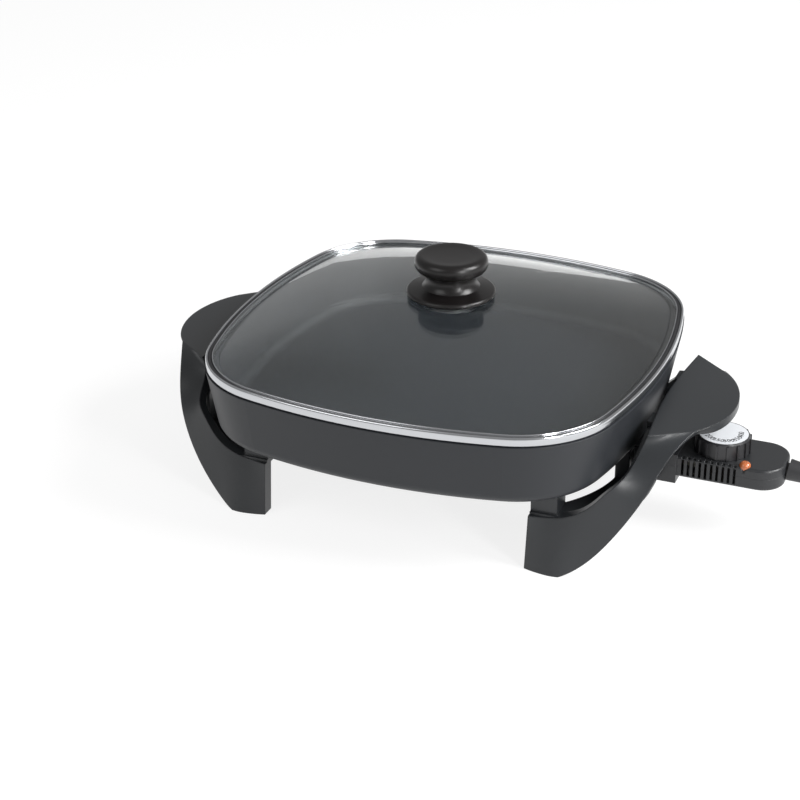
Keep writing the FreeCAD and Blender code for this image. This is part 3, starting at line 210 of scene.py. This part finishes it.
cord_line = cord_curve.splines.new("NURBS")
cord_line.points.add(len(route) - 1)
for point, place in zip(cord_line.points, route):
    point.co = (place.x + pan_shift, place.y, place.z, 1)
cord_line.order_u = 3
cord_line.use_endpoint_u = True
mains_cord = bpy.data.objects.new("mains_cord", cord_curve)
bpy.context.scene.collection.objects.link(mains_cord)
cord_jacket = Finish("cord_jacket", (0.022, 0.022, 0.024), 0.42)
cord_scuff = cord_jacket.noise(180, 3)
cord_jacket.drive("Roughness", 0.36 + cord_scuff * 0.14)
cord_jacket.bump(cord_scuff, 0.15, 0.0002)
cord_jacket.coat(mains_cord, "strain_relief", "plug_body")
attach(mains_cord, "control")
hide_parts("cord", "cord_coil", "cord_tail")

# Studio: a white table that fills the picture behind the skillet, lit by broad soft lamps and a
# plain grey sky. What camera, metal and glass see of the table is white, and it keeps the shadow.
table_reach = 60.0
table_glow = 0.82
shadow_tone = 0.25
sky_level = 0.36
table_mesh = bpy.data.meshes.new("table")
table_mesh.from_pydata([(-table_reach, -table_reach, 0), (table_reach, -table_reach, 0),
                        (table_reach, table_reach, 0), (-table_reach, table_reach, 0)],
                       [], [(0, 1, 2, 3)])
table = bpy.data.objects.new("table", table_mesh)
bpy.context.scene.collection.objects.link(table)
table_top = Finish("table_top", (0.8, 0.8, 0.8), 0.9, Specular_IOR_Level=0.0)
by_camera, by_metal, by_glass = (
    table_top.node("ShaderNodeLightPath", {}, {}, path)
    for path in ("Is Camera Ray", "Is Glossy Ray", "Is Transmission Ray"))
white_glow = table_top.node("ShaderNodeEmission", {},
                            {"Color": (1, 1, 1, 1), "Strength": table_glow})
shadow_coat = table_top.node("ShaderNodeBsdfDiffuse", {},
                             {"Color": (shadow_tone, shadow_tone, shadow_tone, 1)})
seen_table = table_top.node("ShaderNodeAddShader", {}, {0: white_glow, 1: shadow_coat})
table_top.swap_surface(by_camera + by_metal + by_glass, seen_table)
table_top.coat(table)
studio = bpy.data.worlds.new("studio")
bpy.context.scene.world = studio
studio.use_nodes = True
sky_light = studio.node_tree.nodes["Background"]
sky_light.inputs["Color"].default_value = (1, 1, 1, 1)
sky_light.inputs["Strength"].default_value = sky_level


def soft_lamp(name, place, aim, width, height, power):
    """Hang a soft rectangular lamp, turned to its aim; sides in metres, power in watts."""
    lamp_data = bpy.data.lights.new(name, "AREA")
    lamp_data.shape = "RECTANGLE"
    lamp_data.size = width
    lamp_data.size_y = height
    lamp_data.energy = power
    lamp = bpy.data.objects.new(name, lamp_data)
    lamp.location = place
    lamp.rotation_euler = (Vector(aim) - Vector(place)).to_track_quat("-Z", "Y").to_euler()
    bpy.context.scene.collection.objects.link(lamp)


soft_lamp("front_left", (-0.9, -1.5, 1.4), (0, 0, 0.08), 1.2, 1.0, 8)
soft_lamp("right_high", (1.5, 0.15, 1.25), (0.12, 0, 0.06), 0.9, 0.9, 42)
soft_lamp("right_front", (1.42, -0.95, 0.70), (0.15, -0.05, 0.07), 0.3, 0.9, 14)

# Pan: one aluminium casting with a satin, slightly blue-green dark coating outside and a darker,
# bluer non-stick one inside, with a fine fleck; the inside's darker tone is partly that coat and
# partly painted shade for the covered inside. Its underside keeps the outer coat. A face counts
# as inside where it looks in towards the middle, or up.
wall_pull = 6.5
height_pull = 4
floor_pull = 1.4
middle_height = 0.085
pan_coat = Finish("pan_coat", (0.02, 0.022, 0.026), 0.42, Specular_IOR_Level=0.38)
spot_x = pan_coat.node("ShaderNodeSeparateXYZ", {}, {0: pan_coat.place()})
spot_y, spot_z = (Signal(pan_coat, spot_x.socket.node.outputs[axis]) for axis in (1, 2))
pan_out = pan_coat.node("ShaderNodeCombineXYZ", {}, {
    0: (spot_x - pan_shift) * wall_pull,
    1: spot_y * wall_pull,
    2: (middle_height - spot_z) * height_pull,
})
pan_facing = pan_coat.node("ShaderNodeNewGeometry", {}, {}, "True Normal")
outward = pan_coat.node("ShaderNodeVectorMath", {"operation": "DOT_PRODUCT"},
                        {0: pan_out, 1: pan_facing}, 1)
upward = pan_coat.node("ShaderNodeSeparateXYZ", {}, {0: pan_facing}, 2)
# The inside mask carries the inner coat with its painted shade, and also makes the inside rougher.
inside_coat_and_shade_mask = pan_coat.ramp(upward * floor_pull - outward, 0.15, 0.45)
coat_cloud = pan_coat.noise(9, 3)
coat_grain = pan_coat.noise(1400, 2)
coat_fleck = pan_coat.ramp(coat_grain, 0.35, 0.7)
outer_tone = pan_coat.blend(coat_cloud, (0.017, 0.019, 0.022), (0.023, 0.025, 0.029))
# Inner tone: the non-stick coat, darkened as painted shade for the inside under the lid.
inner_coat_and_shade_tone = pan_coat.blend(coat_fleck, (0.013, 0.015, 0.019), (0.018, 0.020, 0.025))
pan_coat.drive("Base Color", pan_coat.blend(inside_coat_and_shade_mask, outer_tone, inner_coat_and_shade_tone))
pan_coat.drive("Roughness", 0.36 + coat_cloud * 0.08 + coat_grain * 0.06 + inside_coat_and_shade_mask * 0.12)
pan_coat.bump(coat_grain, 0.12, 0.00015, edge=0.0012)
pan_coat.coat("pan")

# Underside fittings: the steel-sheathed element in its groove, with ceramic beads on its ends and
# plated pins, and the plated screws. The control's probe and the plug's blades are of the same
# metals, and its switch block is of the same ceramic.
dull_steel = Finish("dull_steel", (0.42, 0.42, 0.43), 0.38, Metallic=1.0)
steel_marks = dull_steel.noise(60, 4, (1, 6, 6))
dull_steel.drive("Roughness", 0.30 + steel_marks * 0.22)
dull_steel.coat("heating_element", "probe_rod", "knob_washer")
plated_metal = Finish("plated_metal", (0.72, 0.72, 0.73), 0.2, Metallic=1.0)
plated_metal.drive("Roughness", 0.14 + plated_metal.noise(90, 3) * 0.16)
plated_metal.coat("terminal_pins", "guard_screws", "handle_screws", "control_screws",
                  "plug_blades", "knob_screw")
ceramic = Finish("ceramic", (0.74, 0.71, 0.64), 0.6)
ceramic.drive("Roughness", 0.5 + ceramic.noise(300, 2) * 0.2)
ceramic.coat("element_seals", "switch_block")

# Handles: two mouldings of charcoal phenolic, satin from the mould, that serve as grips and legs.
# Each is screwed up against the pan. The guard round the pins has the same dark satin finish.
phenolic = Finish("handle_phenolic", (0.02, 0.022, 0.025), 0.4)
moulding_cloud = phenolic.noise(14, 3)
moulding_grain = phenolic.noise(1100, 2)
moulding_tone = phenolic.blend(moulding_cloud, (0.017, 0.019, 0.021), (0.023, 0.025, 0.028))
phenolic.drive("Base Color", moulding_tone)
phenolic.drive("Roughness", 0.27 + moulding_cloud * 0.10 + moulding_grain * 0.05)
phenolic.bump(moulding_grain, 0.1, 0.00012, edge=0.0014)
phenolic.coat("handle_right", "handle_left", "terminal_guard")

# Handle webs: under a grip, each handle is closed on the pan's side by two thin upright webs with
# a gap between them, which on the right is the control's way. They are moulded with the handle,
# bend with the pan's wall, and are cut down at the outer end to stay under the grip.
web_start, web_run, web_steps = 0.030, 0.048, 8
web_face, web_bend = 0.1615, 0.95
web_thick, web_foot = 0.0028, 0.0385
web_top, cut_start, cut_slope = 0.0865, 0.050, 0.66
for side in (1, -1):
    for end in (1, -1):
        web = bmesh.new()
        columns = []
        for step in range(web_steps + 1):
            along = web_start + web_run * step / web_steps
            face = web_face - along ** 2 / web_bend
            top = web_top - max(0, along - cut_start) * cut_slope
            outline = ((0, web_foot), (web_thick, web_foot), (web_thick, top), (0, top))
            columns.append([
                web.verts.new((side * (face + depth) + pan_shift, side * end * along, height))
                for depth, height in outline])
        for near, far in zip(columns, columns[1:]):
            for corner in range(4):
                after = (corner + 1) % 4
                web.faces.new((near[corner], near[after], far[after], far[corner]))
        web.faces.new(columns[0])
        web.faces.new(columns[-1][::-1])
        bmesh.ops.recalc_face_normals(web, faces=web.faces)
        web_mesh = bpy.data.meshes.new("handle_web")
        web.to_mesh(web_mesh)
        web.free()
        web_piece = bpy.data.objects.new("handle_web_%d_%d" % (side + 1, end + 1), web_mesh)
        bpy.context.scene.collection.objects.link(web_piece)
        phenolic.coat(web_piece)
        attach(web_piece, "base")

# Lid: one clear tempered dome with a faint green cast, held by its edge in a bright rolled band.
# Lamps shine through it with no caustics, so that the pan inside is lit as through thin glass.
glass_cast = (0.93, 0.955, 0.95)
clear_glass = Finish("lid_clear_glass", glass_cast, 0.02, Transmission_Weight=1.0, IOR=1.5)
see_through = clear_glass.node("ShaderNodeBsdfTransparent", {}, {"Color": (*glass_cast, 1)})
from_lamp = clear_glass.node("ShaderNodeLightPath", {}, {}, "Is Shadow Ray")
clear_glass.swap_surface(from_lamp, see_through)
clear_glass.coat("lid_glass")

# Band: bright stainless strip, rolled round the glass's edge. Its outer bead stands over the pan's
# rim, a narrow lip holds the glass down, and a dark strip in the groove between them is painted
# shade for the groove's dark crease.
# It follows the pan's rim: four slightly bowed sides joined by round corners.
rim_half, side_radius, corner_radius = 0.1575, 0.4056, 0.0755
side_steps, corner_steps = 14, 20
side_centre = rim_half - side_radius
corner_square = 8 * (side_radius - corner_radius) ** 2 - 4 * side_centre ** 2
corner_centre = (2 * side_centre + math.sqrt(corner_square)) / 4
corner_start = math.atan2(corner_centre, corner_centre - side_centre)
corner_turn = math.pi / 2 - 2 * corner_start
side_middle = Vector((side_centre, 0, 0))
corner_middle = Vector((corner_centre, corner_centre, 0))
arc_steps = [(side_middle, side_radius, corner_start * step / side_steps)
             for step in range(-side_steps, side_steps)]
arc_steps += [(corner_middle, corner_radius, corner_start + corner_turn * step / corner_steps)
              for step in range(corner_steps)]
rim_line = []
for quarter in range(4):
    turn = Matrix.Rotation(quarter * math.pi / 2, 3, "Z")
    for middle, radius, angle in arc_steps:
        way = Vector((math.cos(angle), math.sin(angle), 0))
        rim_line.append((turn @ (middle + way * radius), turn @ way))


def roll_band(name, profile):
    """Roll a closed profile of (distance in from the rim, height), in millimetres, round the lid."""
    rolled = bmesh.new()
    rings = []
    for place, way in rim_line:
        ring = []
        for inset, height in profile:
            spot = place - way * inset / 1000
            ring.append(rolled.verts.new((spot.x + pan_shift, spot.y, height / 1000)))
        rings.append(ring)
    for index, ring in enumerate(rings):
        after = rings[(index + 1) % len(rings)]
        for side in range(len(ring)):
            other = (side + 1) % len(ring)
            rolled.faces.new((ring[side], after[side], after[other], ring[other]))
    bmesh.ops.recalc_face_normals(rolled, faces=rolled.faces)
    mesh = bpy.data.meshes.new(name)
    rolled.to_mesh(mesh)
    rolled.free()
    for face in mesh.polygons:
        face.use_smooth = True
    band = bpy.data.objects.new(name, mesh)
    bpy.context.scene.collection.objects.link(band)
    return band


outer_bead = [(1.1, 107.5), (0.7, 108.0), (0.55, 109.2), (0.5, 111.0), (0.6, 112.6), (0.9, 113.5),
              (1.4, 114.0), (1.9, 114.0), (2.3, 113.6), (2.5, 112.9), (2.6, 112.4)]
inner_lip = [(5.0, 112.4), (5.15, 113.2), (5.3, 113.9), (5.6, 114.15), (5.9, 113.9), (6.1, 113.1),
             (6.1, 112.7), (6.0, 112.2), (5.2, 112.1)]
under_turn = [(3.0, 112.1), (1.7, 112.1), (1.6, 110.0), (1.7, 108.2), (4.4, 107.7), (4.5, 103.9),
              (5.2, 103.8), (5.3, 107.0), (1.6, 107.3)]
rolled_band = roll_band("rolled_band", outer_bead + inner_lip + under_turn)
bright_band = Finish("bright_band", (0.56, 0.57, 0.59), 0.16, Metallic=1.0)
band_marks = bright_band.noise(40, 4)
bright_band.drive("Roughness", 0.10 + band_marks * 0.12)
bright_band.coat(rolled_band)
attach(rolled_band, "lid")
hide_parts("lid_band")
# A dark strip laid in the groove between bead and lip: painted shade for the band's dark crease.
groove_shade_profile = [(2.4, 112.45), (2.55, 112.8), (3.8, 112.95), (5.05, 112.8), (5.1, 112.45)]
groove_shade_strip = roll_band("groove_shade_strip", groove_shade_profile)
groove_shade_black = Finish("groove_shade_black", (0.02, 0.02, 0.022), 0.55)
groove_shade_black.drive("Roughness", 0.5 + groove_shade_black.noise(300, 2) * 0.15)
groove_shade_black.coat(groove_shade_strip)
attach(groove_shade_strip, "lid")

# Knob: a glossy near-black phenolic cap, turned with a full rounded edge, on a flared base, with
# a thin dark silicone gasket under it. A screw from inside the lid pulls them onto the glass.
knob_gloss = Finish("knob_gloss", (0.007, 0.006, 0.006), 0.26, Specular_IOR_Level=0.4)
knob_gloss.drive("Roughness", 0.24 + knob_gloss.noise(30, 3) * 0.10)
knob_gloss.bump(knob_gloss.noise(900, 2), 0.06, 0.0001, edge=0.0008)
knob_gloss.coat("knob_base")
cap_steps = 64
cap_profile = [(0.001, 169.1), (12, 169.2), (18, 169.6), (20.6, 169.95), (22.4, 169.9),
               (24.0, 169.2), (25.3, 167.8), (26.0, 165.8), (26.1, 163.6), (25.5, 161.4),
               (24.0, 159.5), (21.8, 158.3), (19.6, 157.6), (18.6, 156.6), (2.7, 156.6)]
grip_cap = bmesh.new()
cap_rings = []
for radius, height in cap_profile:
    ring = []
    for step in range(cap_steps):
        angle = step * 2 * math.pi / cap_steps
        ring.append(grip_cap.verts.new((radius / 1000 * math.cos(angle) + pan_shift,
                                        radius / 1000 * math.sin(angle), height / 1000)))
    cap_rings.append(ring)
for upper, lower in zip(cap_rings, cap_rings[1:]):
    for step in range(cap_steps):
        after = (step + 1) % cap_steps
        grip_cap.faces.new((upper[step], lower[step], lower[after], upper[after]))
grip_cap.faces.new(cap_rings[0])
cap_mesh = bpy.data.meshes.new("knob_cap_turned")
grip_cap.to_mesh(cap_mesh)
grip_cap.free()
for face in cap_mesh.polygons:
    face.use_smooth = True
cap_piece = bpy.data.objects.new("knob_cap_turned", cap_mesh)
bpy.context.scene.collection.objects.link(cap_piece)
knob_gloss.coat(cap_piece)
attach(cap_piece, "lid")
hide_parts("knob_cap")
gasket_silicone = Finish("gasket_silicone", (0.03, 0.03, 0.032), 0.55)
gasket_silicone.drive("Roughness", 0.5 + gasket_silicone.noise(300, 2) * 0.15)
gasket_silicone.coat("knob_gasket")

# Heat control: a moulded black housing in two shells, screwed together, with a vented body. Inside
# are brass sleeves, leaves and shaft, and a small lamp that shows through an amber lens.
control_gloss = Finish("control_gloss", (0.020, 0.021, 0.023), 0.35)
control_cloud = control_gloss.noise(60, 3)
control_gloss.drive("Roughness", 0.28 + control_cloud * 0.12)
control_gloss.bump(control_gloss.noise(1500, 2), 0.08, 0.0001, edge=0.0007)
control_gloss.coat("control_base", "control_cover")
contact_brass = Finish("contact_brass", (0.66, 0.48, 0.24), 0.3, Metallic=1.0)
contact_brass.drive("Roughness", 0.26 + contact_brass.noise(120, 3) * 0.16)
contact_brass.coat("contact_sleeves", "fixed_contact_leaf", "moving_contact_leaf", "dial_shaft")
lamp_glow = Finish("lamp_glow", (0.9, 0.5, 0.25), 0.2)
lamp_glow.drive("Roughness", 0.15 + lamp_glow.noise(300, 2) * 0.1)
lamp_glow.coat("indicator_lamp")
amber = Finish("amber_lens", (0.42, 0.12, 0.04), 0.18, Coat_Weight=0.6, Coat_Roughness=0.05)
amber.drive("Roughness", 0.15 + amber.noise(200, 2) * 0.1)
amber.coat("indicator_lens")

# Dial: a ribbed black skirt on the control's shaft, with a pale printed face. Its numbers are
# printed in dark ink round the face, and each reads from the outside of the dial.
dial_black = Finish("dial_black", (0.022, 0.022, 0.024), 0.32)
dial_black.drive("Roughness", 0.26 + dial_black.noise(200, 2) * 0.12)
dial_black.coat("dial_skirt")
dial_print = Finish("dial_print", (0.74, 0.76, 0.79), 0.45)
dial_print.drive("Roughness", 0.4 + dial_print.noise(400, 2) * 0.12)
dial_print.coat("dial_face")
dial_ink = Finish("dial_ink", (0.03, 0.03, 0.035), 0.5)
dial_ink.drive("Roughness", 0.45 + dial_ink.noise(600, 2) * 0.1)
dial_axis = Vector((0.201 + pan_shift, 0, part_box("dial_face")[1][2]))
number_circle = 0.0120
number_size = 0.0054
ink_lift, ink_thick = 0.00006, 0.00005
number_bearings = {"0": -168, "200": -128, "250": -94, "300": -60, "350": -26, "400": 8}
for label, bearing in number_bearings.items():
    bearing = math.radians(bearing)
    mark_curve = bpy.data.curves.new("dial_number_" + label, "FONT")
    mark_curve.body = label
    mark_curve.size = number_size
    mark_curve.extrude = ink_thick
    mark_curve.align_x = "CENTER"
    mark_curve.align_y = "CENTER"
    mark = bpy.data.objects.new("dial_number_" + label, mark_curve)
    mark.location = dial_axis + Vector((number_circle * math.cos(bearing),
                                        number_circle * math.sin(bearing), ink_lift))
    mark.rotation_euler = (0, 0, bearing + math.pi / 2)
    bpy.context.scene.collection.objects.link(mark)
    dial_ink.coat(mark)
    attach(mark, "dial")
